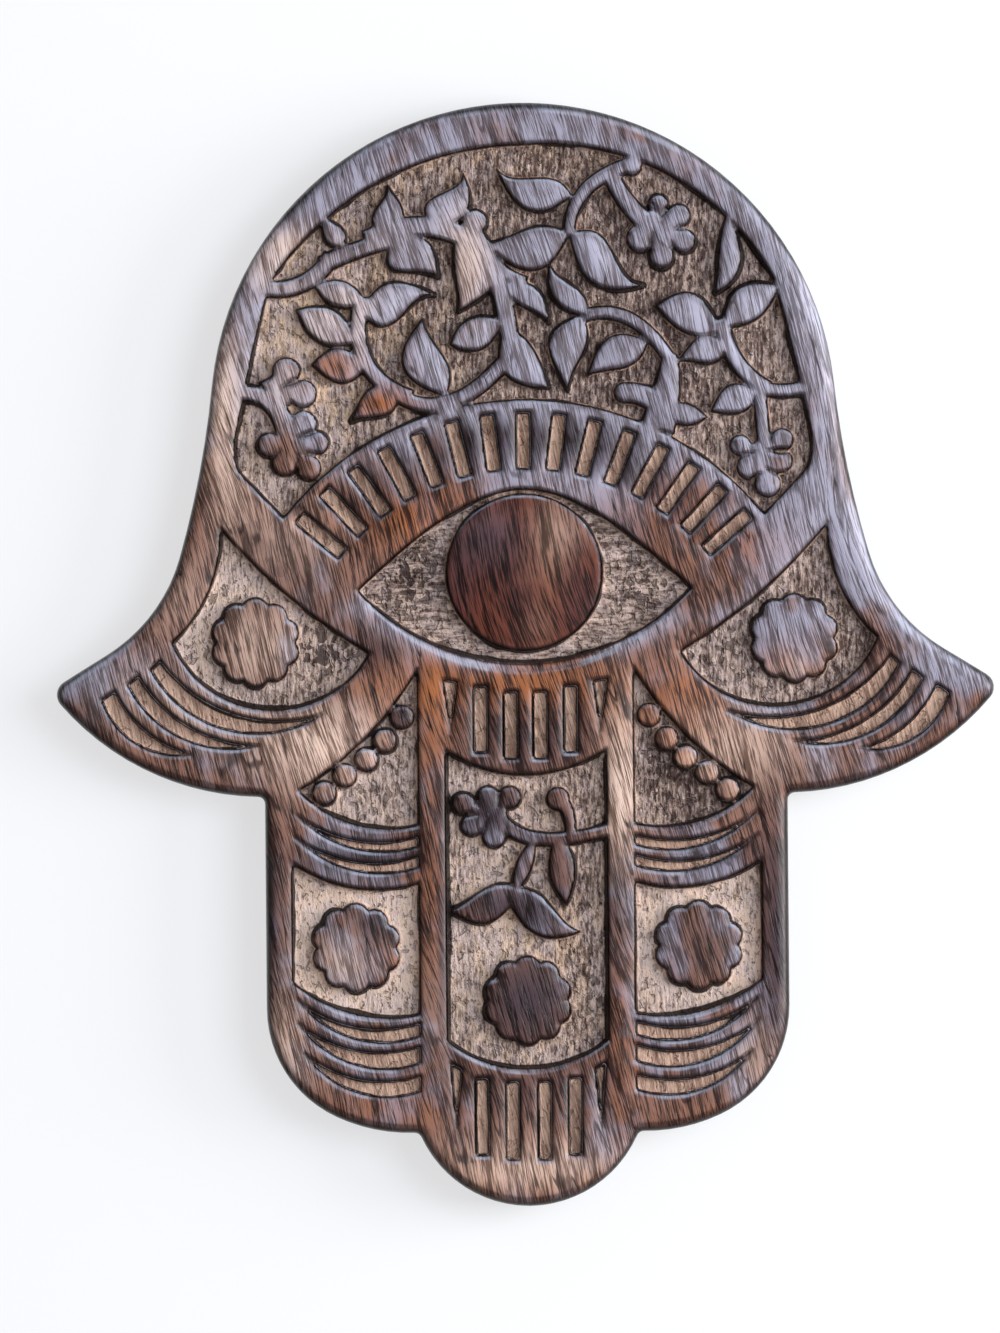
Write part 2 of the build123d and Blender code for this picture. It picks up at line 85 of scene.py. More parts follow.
DARK_PATCHES = (
    (-8, -55, 9, 6, 1.0), (8, -60, 8, 9, 0.6), (0, -77, 18, 6, 1.0), (0, -98.6, 12, 12, 1.0),
    (33, 10, 12, 6, 0.4), (4, 32, 30, 5, 0.45), (-34, -17, 6, 5, 0.7), (58.5, -85, 5.5, 28, 1.0),
    (-19, -88, 1.5, 22, 0.8), (-60, -80, 3.5, 20, 0.9), (42, -86, 8, 9, 0.35), (-34, -80, 6, 5, 0.85),
    # The patch at x -15, z 0 darkens the iris's left edge: painted shade
    (-15, 0, 4, 13, 0.5), (-34, -110, 13, 8, 0.15), (-34, -65, 13, 5, 0.6), (34, -110, 13, 8, 0.3),
    (-100, -30, 9, 7, 0.4), (0, -38, 15, 7, 0.8), (21, -75, 3, 12, 0.4), (-28.4, -33.1, 3.5, 3.5, 0.9),
    (-8, 8, 7, 7, 0.75), (12, -7, 4, 8, 0.4), (-1, -4, 5, 8, 0.4), (-52, 2, 8, 6, 0.3),
    (45, -66, 12, 3, 0.4), (-45, -66, 12, 3, 0.5), (0, -120, 16, 6, 0.5),
) + LASH_SLATS
PALE_PATCHES = (
    (-48, -39, 14, 9, 1.0), (48, -41, 13, 9, 0.6), (21.5, -50, 4, 18, 1.0), (-69, 42, 4, 18, 0.8),
    (-62, -16, 9, 9, 0.6), (-58, -112, 6, 12, 0.7), (0, -137, 20, 6, 0.7), (-52, 76, 9, 4, 0.7),
    (-14, 70, 6, 12, 0.5), (52, -112, 6, 8, 0.4), (-21.5, -100, 4, 14, 0.1), (36.8, -42.8, 9, 7, 0.1),
    (6, 8, 4, 9, 0.3), (11, 10, 4, 5, 0.2), (3, -12, 4, 5, 0.12), (-43, -90, 6, 6, 0.55),
    (-46, 58, 8, 6, 0.45), (-40, 64, 8, 4, 0.35), (-58, 70, 8, 5, 0.5), (-55, 43, 7, 9, 0.35),
    (-37, 55, 3, 8, 0.3), (-12, 70, 5, 12, 0.3), (-32, 76, 6, 6, 0.2), (61, -23, 5, 4, 0.35),
    (-54, 8, 10, 9, 0.35), (-86, -28, 12, 7, 0.3), (-72, -32, 12, 6, 0.35), (-67, 20, 5, 14, 0.4),
    (-80, -4, 8, 8, 0.3),
)
# Grey violet stain that is partly a painted sheen on the dome, rim and wings
BLOOM_AND_SHEEN_PATCHES = (
    (0, 70, 75, 34, 1.0), (-95, -22, 16, 10, 0.2), (-60, 6, 14, 14, -0.7), (-84, -14, 12, 12, -0.4),
    (44, -118, 16, 10, 0.2), (98, -22, 14, 10, 0.6), (68, 10, 8, 18, 0.7), (58, 80, 10, 14, 0.8),
    (80, 2, 10, 12, 0.8), (62, -16, 9, 9, 0.6), (0, 38, 40, 5, 0.6), (-45, -66, 12, 5, 0.5),
    (45, -66, 12, 5, 0.5),
)
# Painted highlights on leaves, ridges, the rim, the right wing, the lash band and the lower lid
PALE_HIGHLIGHT_PATCHES = (
    (-28, 62, 9, 5, 0.8), (-22, 49, 6, 8, 0.8), (-45, 57, 7, 5, 0.7), (-20, 85, 6, 7, 0.5),
    (18, 73, 9, 6, 0.6), (-4, 84, 9, 6, 0.4), (36, 55, 8, 6, 0.6), (53, 61, 7, 5, 0.7),
    (50, 47, 5, 8, 0.6), (-8, 60, 4, 10, 0.6), (3, 50, 5, 8, 0.5), (10, 52, 4, 8, 0.4),
    (-42, 64, 7, 4, 0.5), (-33, 82, 6, 6, 0.4), (58, 43, 8, 3, 0.6), (-55, 72, 10, 6, 0.6),
    (-37, 52, 3, 9, 0.5), (70, 40, 4, 24, 0.75), (62, 62, 5, 10, 0.5), (-90, -22, 8, 5, 0.4),
    (-8, 9, 6, 6, 0.16), (76, 8, 5, 10, 0.5), (86, -6, 6, 6, 0.5), (97, -16, 8, 5, 0.4),
    (67, 62, 4, 14, 0.6),
) + LASH_BAND_TOP + LOWER_LID
# Where the dark of the cut walls and the outer edge runs wide: burning, and painted shadow beside raised
# shapes
SCORCH_AND_SHADOW_PATCHES = (
    (-64, 45, 4, 22, 0.9), (-58, -30, 18, 4, 0.8), (58, -30, 18, 4, 0.7), (0, -20, 34, 4, 0.7),
    (-40, -101, 16, 4, 0.8), (40, -100, 16, 4, 0.8), (0, -113, 18, 3, 0.9), (-40, -57, 14, 3, 0.7),
    (40, -57, 14, 3, 0.5), (-20, 66, 5, 10, 0.8), (48, 68, 6, 10, 0.9), (32, 70, 8, 5, 0.6),
    (-38, 34, 8, 4, 0.6), (18, 66, 10, 4, 0.5), (-8, -55, 12, 8, 0.5), (-4, -104, 14, 4, 0.4),
    (54, 72, 3, 7, 0.9), (63, 53, 3, 8, 0.9), (67, 31, 3, 9, 0.7), (42, 88, 6, 5, 0.8),
    (-8, 66, 4, 8, 0.4), (-18.5, -80, 2.5, 30, 1.0), (18.5, -80, 2.5, 36, 0.8), (-59, -72, 4, 16, 1.0),
    (-50, 88, 14, 10, 0.9), (0, 108, 40, 4, 0.9), (-84, 2, 5, 6, 0.9), (-93, -7, 5, 5, 0.9),
    (-101, -15, 5, 5, 0.9), (-107, -23, 4, 4, 0.9), (59, -70, 4, 16, 0.8),
) + ROSETTE_SHADOWS
# Where the gouge dug dark pits into the floors
PIT_PATCHES = (
    (-27, 0, 8, 9, 1.0), (27, -3, 8, 8, 0.8), (-46, -18, 8, 7, 1.0), (46, -18, 8, 7, 0.5),
    (-76, -8, 9, 9, 0.5), (76, -6, 9, 9, 0.4), (-34, -50, 8, 6, 0.5), (33, -46, 7, 7, 0.8),
    (0, -68, 8, 9, 0.5), (12, -98, 6, 8, 0.6), (-47, -95, 7, 6, 0.2), (20, 50, 16, 10, 0.5),
    (-20, 55, 10, 10, 0.4), (10, 88, 14, 6, 0.5), (40, 45, 8, 10, 0.5),
)
# Where the bare floors are golden rather than grey
GOLD_PATCHES = (
    (-45, 60, 30, 40, 1.0), (0, 98, 36, 10, 0.6), (-40, -86, 18, 20, 1.0), (40, -86, 18, 20, 0.7),
    (0, -85, 16, 30, 0.8), (-75, -12, 16, 14, 0.4),
)
# Where the carved floors are paler, above 0, or darker, below 0
GROUND_PATCHES = (
    (-54, 55, 14, 34, 0.3), (20, 60, 44, 40, -0.4), (0, 90, 20, 12, -0.2), (-75, -10, 22, 16, 0.6),
    (75, -14, 22, 16, -0.3), (-38, -48, 12, 12, 0.2), (38, -48, 12, 12, -0.55), (-40, -86, 18, 18, 1.0),
    (40, -86, 18, 18, 0.8), (-5, -75, 10, 30, 0.35), (14, -75, 6, 30, -0.2), (-33, -1, 14, 10, -0.15),
    (33, -1, 14, 10, 0.1),
)
PATCHES = {
    "bloom_and_sheen": BLOOM_AND_SHEEN_PATCHES,
    "warm": WARM_PATCHES,
    "dark": DARK_PATCHES,
    "pale": PALE_PATCHES,
    "scorch_and_shadow": SCORCH_AND_SHADOW_PATCHES,
    "pale_highlight": PALE_HIGHLIGHT_PATCHES,
    "pits": PIT_PATCHES,
    "ground": GROUND_PATCHES,
    "gold": GOLD_PATCHES,
}

# Stains, a partly painted sheen and painted highlights on the raised wood, in the order they were laid:
# the colours of their dark and their pale fibres
BROWN_FIBRES = ((0.042, 0.017, 0.013, 1), (0.290, 0.138, 0.098, 1))
BLOOM_AND_SHEEN_FIBRES = ((0.128, 0.098, 0.112, 1), (0.380, 0.352, 0.445, 1))
IRIS_FIBRES = ((0.011, 0.003, 0.002, 1), (0.165, 0.042, 0.024, 1))
PALE_HIGHLIGHT_FIBRES = ((0.200, 0.172, 0.200, 1), (0.560, 0.530, 0.660, 1))
WARM_FIBRES = ((0.040, 0.011, 0.005, 1), (0.440, 0.138, 0.038, 1))
PALE_FIBRES = ((0.270, 0.155, 0.112, 1), (0.920, 0.660, 0.540, 1))
DARK_FIBRES = ((0.009, 0.004, 0.005, 1), (0.068, 0.041, 0.055, 1))
# Marks on the raised wood, with the painted shade of edges facing away from the light and the painted
# highlight of edges facing it
OPEN_PORE = (0.018, 0.008, 0.007, 1)
BROWN_EDGE = (0.080, 0.042, 0.040, 1)
BURNT_EDGE = (0.020, 0.009, 0.008, 1)
EDGE_SHADE_PAINT = (0.022, 0.010, 0.009, 1)
EDGE_HIGHLIGHT_PAINT = (0.520, 0.550, 0.680, 1)
# Carved floors, slots, back and burnt walls
GREY_FLOOR = (0.625, 0.470, 0.430, 1)
GOLD_FLOOR = (0.740, 0.505, 0.345, 1)
SOILED_FLOOR = (0.086, 0.050, 0.042, 1)
RUBBED_FLOOR = (0.900, 0.680, 0.580, 1)
FLOOR_SPECK = (0.050, 0.027, 0.021, 1)
FLOOR_PIT = (0.028, 0.014, 0.013, 1)
FLOOR_NICK = (0.860, 0.740, 0.640, 1)
SLOT_FIBRES = ((0.260, 0.145, 0.100, 1), (0.660, 0.430, 0.320, 1))
BACK_FIBRES = ((0.10, 0.055, 0.035, 1), (0.30, 0.19, 0.125, 1))
CHAR = (0.006, 0.004, 0.004, 1)

# Plated pieces: their tint, and the knots per millimetre of their drawing lines
PLATED_PIECES = {
    "hanger_strap": ((0.62, 0.60, 0.56, 1), (3, 3, 0.25)),
    "hanger_ring": ((0.66, 0.64, 0.60, 1), (3, 3, 3)),
    "strap_screws": ((0.60, 0.58, 0.54, 1), (3, 3, 3)),
}

# Photograph frame, in millimetres at the carved front
PHOTO_WIDTH = 230.0
PHOTO_ASPECT = 1333 / 1000
PHOTO_CENTRE_X = -5.8
PHOTO_CENTRE_Z = -21.6

# Camera and stage: places in metres, sensor in millimetres
CAMERA_DISTANCE = 2.4
CAMERA_FAR = 20.0
CAMERA_ROLL = math.radians(0.5)
SENSOR = 36.0
WALL_GAP = 0.6 * MM
FLOOR_DROP = 0.32
LIGHT_TARGET = (0, 0, -0.02)
SHEET_GLOW = 0.64
SHEET_WHITE = (0.97, 0.97, 0.98, 1)
GLOW_WHITE = (0.985, 0.985, 1.0, 1)
ROOM_WHITE = (0.97, 0.985, 1.0, 1)
SOFT_LIGHT = 0.42
MIRRORED_FRONT = 0.06


class Value:
    """One node socket, with the arithmetic that the finishes use."""

    def __init__(self, nodes, socket):
        self.nodes = nodes
        self.socket = socket

    def _math(self, operation, first, second):
        return self.nodes.node("ShaderNodeMath", {"operation": operation}, {0: first, 1: second})

    def __add__(self, other):
        return self._math("ADD", self, other)

    def __radd__(self, other):
        return self._math("ADD", other, self)

    def __sub__(self, other):
        return self._math("SUBTRACT", self, other)

    def __rsub__(self, other):
        return self._math("SUBTRACT", other, self)

    def __mul__(self, other):
        return self._math("MULTIPLY", self, other)

    def __rmul__(self, other):
        return self._math("MULTIPLY", other, self)

    def __abs__(self):
        return self._math("ABSOLUTE", self, 0.0)


class Nodes:
    """A tree of shader nodes that is written as expressions."""

    def __init__(self, tree):
        self.tree = tree

    def put(self, socket, value):
        """Links a value to a socket, or sets a plain number or colour on it."""
        if isinstance(value, Value):
            self.tree.links.new(value.socket, socket)
        else:
            socket.default_value = value

    def node(self, kind, settings, sockets, out=0):
        """Adds one node: its settings first, then the values or links of its sockets."""
        node = self.tree.nodes.new(kind)
        for key, value in settings.items():
            setattr(node, key, value)
        for key, value in sockets.items():
            self.put(node.inputs[key], value)
        return Value(self, node.outputs[out])

    def mix(self, factor, first, second):
        """Blends two colours."""
        return self.node("ShaderNodeMix", {"data_type": "RGBA"}, {0: factor, 6: first, 7: second}, 2)

    def shade(self, colour, value):
        """Multiplies a colour by a grey value."""
        grey = self.node("ShaderNodeCombineColor", {}, {0: value, 1: value, 2: value})
        settings = {"data_type": "RGBA", "blend_type": "MULTIPLY"}
        return self.node("ShaderNodeMix", settings, {0: 1.0, 6: colour, 7: grey}, 2)

    def step(self, value, low, high):
        """A smooth step from 0 at low to 1 at high."""
        settings = {"interpolation_type": "SMOOTHSTEP"}
        return self.node("ShaderNodeMapRange", settings, {0: value, 1: low, 2: high, 3: 0.0, 4: 1.0})

    def turned(self, vector, turn):
        """The vector turned about the origin."""
        return self.node("ShaderNodeMapping", {}, {"Vector": vector, "Rotation": turn})

    def stretch(self, vector, scale):
        """The vector scaled along each axis."""
        return self.node("ShaderNodeVectorMath", {"operation": "MULTIPLY"}, {0: vector, 1: scale})

    def noise(self, vector, scale, detail=2.0, roughness=0.5, distortion=0.0):
        """Cloudy noise from 0 to 1, by its knots per millimetre: one number, or one for each axis."""
        if not isinstance(scale, tuple):
            scale = (scale, scale, scale)
        sockets = {
            "Vector": self.stretch(vector, scale),
            "Scale": 1.0,
            "Detail": detail,
            "Roughness": roughness,
            "Distortion": distortion,
        }
        return self.node("ShaderNodeTexNoise", {}, sockets)

    def attribute(self, name):
        """A number stored on the points of the piece."""
        return self.node("ShaderNodeAttribute", {"attribute_name": name}, {}, "Fac")

    def place(self):
        """The point on the piece, in millimetres."""
        where = self.node("ShaderNodeTexCoord", {}, {}, "Object")
        return self.node("ShaderNodeVectorMath", {"operation": "SCALE"}, {0: where, "Scale": 1000.0})

    def bump(self, strength, distance, height):
        """The normal of a surface with this height, from 0 to 1 over the distance."""
        sockets = {"Strength": strength, "Distance": distance, "Height": height}
        return self.node("ShaderNodeBump", {}, sockets)

    def sideways(self, value):
        """A vector along X."""
        return self.node("ShaderNodeCombineXYZ", {}, {0: value})

    def depth(self, place):
        """How far the point lies from the back plane, along Y, in millimetres."""
        return self.node("ShaderNodeSeparateXYZ", {}, {0: place}, "Y")


class Finish(Nodes):
    """A material with its main shader."""

    def __init__(self, name):
        self.material = bpy.data.materials.new(name)
        self.material.use_nodes = True
        super().__init__(self.material.node_tree)
        self.shader = self.tree.nodes["Principled BSDF"]
        self.output = self.tree.nodes["Material Output"]

    def surface(self, name, value):
        """Feeds one input of the main shader."""
        self.put(self.shader.inputs[name], value)


def pick_only(piece):
    """Selects one object alone and makes it the active one."""
    bpy.ops.object.select_all(action="DESELECT")
    piece.select_set(True)
    bpy.context.view_layer.objects.active = piece


def read_vectors(items, name):
    """One vector per item, as rows of an array."""
    values = np.empty(len(items) * 3, np.float32)
    items.foreach_get(name, values)
    return values.reshape(-1, 3).astype(float)


def smooth_step(value, low, high):
    """A smooth step from 0 at low to 1 at high."""
    t = np.clip((value - low) / (high - low), 0, 1)
    return t * t * (3 - 2 * t)


def hand_noise(x, z, seed):
    """Smooth noise from 0 to 1 on a plane, one knot per unit."""
    knots = np.random.default_rng(seed).random((KNOTS, KNOTS))
    column = np.floor(x).astype(int)
    row = np.floor(z).astype(int)
    across = smooth_step(x - column, 0, 1)
    up = smooth_step(z - row, 0, 1)
    here, there = column % KNOTS, (column + 1) % KNOTS
    low, high = row % KNOTS, (row + 1) % KNOTS
    left = knots[here, low] * (1 - up) + knots[here, high] * up
    right = knots[there, low] * (1 - up) + knots[there, high] * up
    return left * (1 - across) + right * across


def relief_edges(mesh):
    """A search tree of points along every carved edge, seen flat from the front, in millimetres."""
    points = []
    shape = bmesh.new()
    shape.from_mesh(mesh)
    for edge in shape.edges:
        if len(edge.link_faces) != 2:
            continue
        first, last = (corner.co / MM for corner in edge.verts)
        facing = sorted(face.normal.y for face in edge.link_faces)
        if max(first.y, last.y) > CARVING_BACK or facing[0] > -0.8 or facing[1] < -0.5:
            continue
        count = max(1, int((last - first).length / EDGE_SAMPLE))
        points += [first.lerp(last, i / count) for i in range(count)]
    shape.free()
    tree = kdtree.KDTree(len(points))
    for index, point in enumerate(points):
        tree.insert((point.x, 0, point.z), index)
    tree.balance()
    return tree


def edge_distances(points, tree):
    """How far each point of the carved front lies from the nearest carved edge, in plan."""
    distances = np.full(len(points), EDGE_REACH)
    for index in np.nonzero(points[:, 1] < CARVING_BACK)[0]:
        x, _, z = points[index]
        distances[index] = min(EDGE_REACH, tree.find((x, 0, z))[2])
    return distances


def patch_strength(points, patches):
    """Soft oval patches added up over the points."""
    total = np.zeros(len(points))
    for x, z, reach_x, reach_z, strength in patches:
        away = ((points[:, 0] - x) / reach_x) ** 2 + ((points[:, 2] - z) / reach_z) ** 2
        total += strength * np.exp(-away)
    return np.clip(total, -1, 1)


def store_numbers(mesh, name, values):
    """Keeps one number per point on the mesh for its finish to read."""
    layer = mesh.attributes.new(name, "FLOAT", "POINT")
    layer.data.foreach_set("value", values.astype(np.float32))


def fine_skin(board):
    """Remakes the board's surface in small even cells and rubs its edges."""
    fine = board.modifiers.new("fine_skin", "REMESH")
    fine.mode = "VOXEL"
    fine.voxel_size = CELL * MM
    bpy.ops.object.modifier_apply(modifier=fine.name)
    worn = board.modifiers.new("worn_edges", "SMOOTH")
    worn.factor = 0.5
    worn.iterations = 2
    bpy.ops.object.modifier_apply(modifier=worn.name)


def wear_and_gouge(points, normals, edge):
    """Moves the points as tools and wear did, and says which lie on sunk floors and which on the iris."""
    x, y, z = points.T
    in_front = y < CARVING_BACK
    sunken = in_front * (y > SLOT_FLOOR_LEVEL - 0.22) * ((edge < 2) + (normals[:, 1] < -0.6))
    on_top = smooth_step(-y, -SLOT_FLOOR_LEVEL + 0.1, -FRONT_LEVEL - 0.4)
    reach = EDGE_ROUND * (0.7 + 0.6 * hand_noise(x / EDGE_WANDER, z / EDGE_WANDER, 1))
    sunk = EDGE_DROP * np.clip(1 - edge / reach, 0, 1) ** 2
    from_middle = np.hypot(x, z) / IRIS_RADIUS
    iris = smooth_step(from_middle, 1.03, 0.97)
    sunk += CROWN_DROP * (1 - iris) * (1 - edge / EDGE_REACH) ** 2
    sunk += IRIS_CROWN * iris * from_middle ** 2
    sway = hand_noise(x / SWAY_WIDTH, z / SWAY_LENGTH, 4)
    sunk += SWAY_DROP * sway * smooth_step(edge, 0.0, 3.0)
    low = smooth_step(y, *RIDGE_TO_FLOOR) * in_front
    gouge = hand_noise(x / GOUGE_WIDTH, z / GOUGE_LENGTH, 2) - 0.5
    depth_share = np.where(y > SLOT_FLOOR_LEVEL + 0.4, 1.0, 0.4) * smooth_step(edge, 0.2, 1.2)
    y += on_top * sunk
    y -= low * COVE_RISE * np.clip(1 - edge / COVE_REACH, 0, 1) ** 2
    y += sunken * depth_share * GOUGE_DEPTH * gouge
    return sunken, iris


def mark_finish(mesh, points, edge, iris):
    """Stores on the points what the wood's finish reads: places, lit sides, stains, and patches of
    painted highlight, sheen and shadow.
    """
    x, y, z = points.T
    in_pocket = (abs(x) < POCKET_HALF_WIDTH) * (z > POCKET_BOTTOM) * (z < POCKET_TOP) * (y > POCKET_FLOOR)
    lens = abs(z) + x ** 2 / LID_CURVE
    store_numbers(mesh, "edge", edge)
    # How far each point faces the light side, for the painted highlight and painted shade on the raised
    # wood
    store_numbers(mesh, "lit", read_vectors(mesh.vertex_normals, "vector") @ np.array(LIGHT_SIDE))
    store_numbers(mesh, "iris", iris)
    store_numbers(mesh, "eye", smooth_step(lens, LID_OUTSIDE, LID_INSIDE))
    store_numbers(mesh, "raw", np.maximum(in_pocket, smooth_step(y, *SIDE_TO_BACK)))
    for name, patches in PATCHES.items():
        store_numbers(mesh, name, patch_strength(points, patches))


def carved_hand(node):
    """The board as it was carved by hand: soft worn edges and gouge-marked floors."""
    board = bpy.data.objects.new("carved_hand", node.data.copy())
    bpy.context.scene.collection.objects.link(board)
    pick_only(board)
    bpy.ops.object.mode_set(mode="EDIT")
    bpy.ops.mesh.select_all(action="SELECT")
    bpy.ops.mesh.remove_doubles(threshold=WELD * MM)
    bpy.ops.object.mode_set(mode="OBJECT")
    tree = relief_edges(board.data)
    fine_skin(board)

    mesh = board.data
    points = read_vectors(mesh.vertices, "co") / MM
    normals = read_vectors(mesh.vertex_normals, "vector")
    edge = edge_distances(points, tree)
    sunken, iris = wear_and_gouge(points, normals, edge)
    mesh.vertices.foreach_set("co", (points * MM).astype(np.float32).ravel())
    mesh.update()
    mark_finish(mesh, points, np.where(sunken, -edge, edge), iris)

    triangles = 2 * len(mesh.polygons)
    thin = board.modifiers.new("fewer_faces", "DECIMATE")
    thin.ratio = min(1.0, MOST_TRIANGLES / triangles)
    bpy.ops.object.modifier_apply(modifier=thin.name)
    bpy.ops.object.shade_smooth()
    return board


def slant_grain(wood, place):
    """The point in the wood's own frame, along its slanting and slightly wandering grain."""
    grain = wood.turned(place, (0, GRAIN_ANGLE, 0))
    sway = wood.noise(place, 0.02, 1.0) * 8.0
    return wood.node("ShaderNodeVectorMath", {"operation": "ADD"}, {0: grain, 1: wood.sideways(sway)})


def open_pores(wood, grain):
    """Long thin vessels and short pores along the grain."""
    vessel = abs(wood.noise(grain, (0.45, 0.2, 0.04), 0.0) - 0.5)
    vessel = 1 - wood.step(vessel, 0.006, 0.032)
    vessel = vessel * wood.step(wood.noise(grain, (0.5, 0.2, 0.1), 1.0), 0.42, 0.55)
    pores = wood.step(wood.noise(grain, (2.5, 0.4, 0.14), 1.0), 0.64, 0.71)
    return 1 - (1 - pores * 0.7) * (1 - vessel)


def raised_wood(wood, place, grain, fine, fibre, pores):
    """Colour of the raised wood: stained fibres, pores, burnt edges, painted shade on edges facing away
    from the light and a painted highlight on edges facing it.
    """
    edge = wood.attribute("edge")
    lit = wood.attribute("lit")
    iris = wood.attribute("iris")
    bloom_and_sheen = wood.attribute("bloom_and_sheen")
    # The grey violet bloom is partly a painted sheen
    cloud = wood.noise(grain, (0.045, 0.05, 0.02), 3.0, 0.55) * 0.75
    cloud = cloud + wood.noise(place, 0.14, 2.0, 0.55) * 0.25
    bloom_and_sheen_mask = wood.step(cloud + bloom_and_sheen * 0.26, 0.48, 0.62)
    stains = (
        (bloom_and_sheen_mask, BLOOM_AND_SHEEN_FIBRES),
        (iris, IRIS_FIBRES),
        # Painted highlights, laid as a pale lavender stain
        (wood.attribute("pale_highlight"), PALE_HIGHLIGHT_FIBRES),
        (wood.attribute("warm") * (1 - iris * 0.7), WARM_FIBRES),
        (wood.attribute("pale"), PALE_FIBRES),
        (wood.attribute("dark"), DARK_FIBRES),
    )
    shaded, bright = BROWN_FIBRES
    for amount, (dark_fibre, pale_fibre) in stains:
        shaded = wood.mix(amount, shaded, dark_fibre)
        bright = wood.mix(amount, bright, pale_fibre)
    top = wood.mix(fibre, shaded, bright)
    top = wood.mix(pores * (0.8 - iris * 0.3 - bloom_and_sheen_mask * 0.25), top, OPEN_PORE)
    brown = wood.step(wood.noise(place, 0.2, 2.0), 0.38, 0.62) * 0.4 + bloom_and_sheen * 0.15
    brown = brown * (1 - wood.step(edge, 0.3, bloom_and_sheen * 1.4 + 1.0))
    top = wood.mix(brown, top, BROWN_EDGE)
    scorched = wood.step(wood.noise(place, 0.14, 2.0), 0.35, 0.6) * 0.4 + 0.2 + bloom_and_sheen * 0.08
    burn = (1 - wood.step(edge, 0.1, bloom_and_sheen * 0.4 + 0.8)) * scorched
    top = wood.mix(burn, top, BURNT_EDGE)
    # Painted shade: edges that face away from the light side are darkened
    top = wood.mix(wood.step(0 - lit, 0.1, 0.45) * 0.65, top, EDGE_SHADE_PAINT)
    # Painted highlight: edges that face the light side turn bluish white, broken up by noise
    worn = wood.step(wood.noise(place, 0.11, 2.0), 0.40, 0.62)
    edge_highlight = wood.step(lit, 0.12, 0.5) * (wood.step(fine, 0.3, 0.7) * 0.3 + worn * 0.4)
    return wood.mix(edge_highlight, top, EDGE_HIGHLIGHT_PAINT)


def gouged_floor(wood, place, grain, fibre):
    """Colour and height of the carved floors: gouge chatter, specks, pits, nicks and plainer slots."""
    ground = wood.attribute("ground")
    pits = wood.attribute("pits")
    eye = wood.attribute("eye")
    chip = wood.noise(grain, (0.75, 0.6, 0.45), 4.0, 0.75, 0.6)
    speck = wood.noise(grain, (1.5, 1.0, 0.8), 2.0, 0.65)
    upright = wood.noise(place, (1.5, 0.6, 0.33), 2.0, 0.6)
    level = wood.noise(place, (0.3, 0.6, 1.2), 2.0, 0.6, 0.5)
    tick = upright * (1 - eye) + level * eye
    dug = wood.step(chip * 0.3 + tick * 0.5 + speck * 0.2 + ground * 0.16, 0.37, 0.62)
    tan = wood.step(wood.noise(place, (0.3, 0.3, 0.2), 2.0, 0.6), 0.40, 0.60)
    tan = tan * (wood.attribute("gold") * 0.7 + 0.3)
    soil = wood.mix(dug, SOILED_FLOOR, wood.mix(tan, GREY_FLOOR, GOLD_FLOOR))
    soil = wood.mix(wood.step(ground, 0.0, 1.0) * 0.6, soil, RUBBED_FLOOR)
    soil = wood.mix(wood.step(speck, 0.57, 0.67) * 0.65, soil, FLOOR_SPECK)
    pit = wood.step(wood.noise(grain, (0.55, 0.5, 0.4), 2.0, 0.6, 0.6) + pits * 0.12, 0.56, 0.66)
    soil = wood.mix(pit * (pits * 0.55 + 0.35), soil, FLOOR_PIT)
    nick = wood.step(wood.noise(place, (1.4, 1.0, 1.0), 2.0, 0.6), 0.63, 0.72)
    soil = wood.mix(nick * 0.4, soil, FLOOR_NICK)
    slot = 1 - wood.step(wood.depth(place), *SLOT_TO_FIELD)
    soil = wood.mix(slot * 0.8, soil, wood.mix(fibre, *SLOT_FIBRES))
    return soil, chip * 0.4 + tick * 0.4 + speck * 0.2 - pit * 0.5


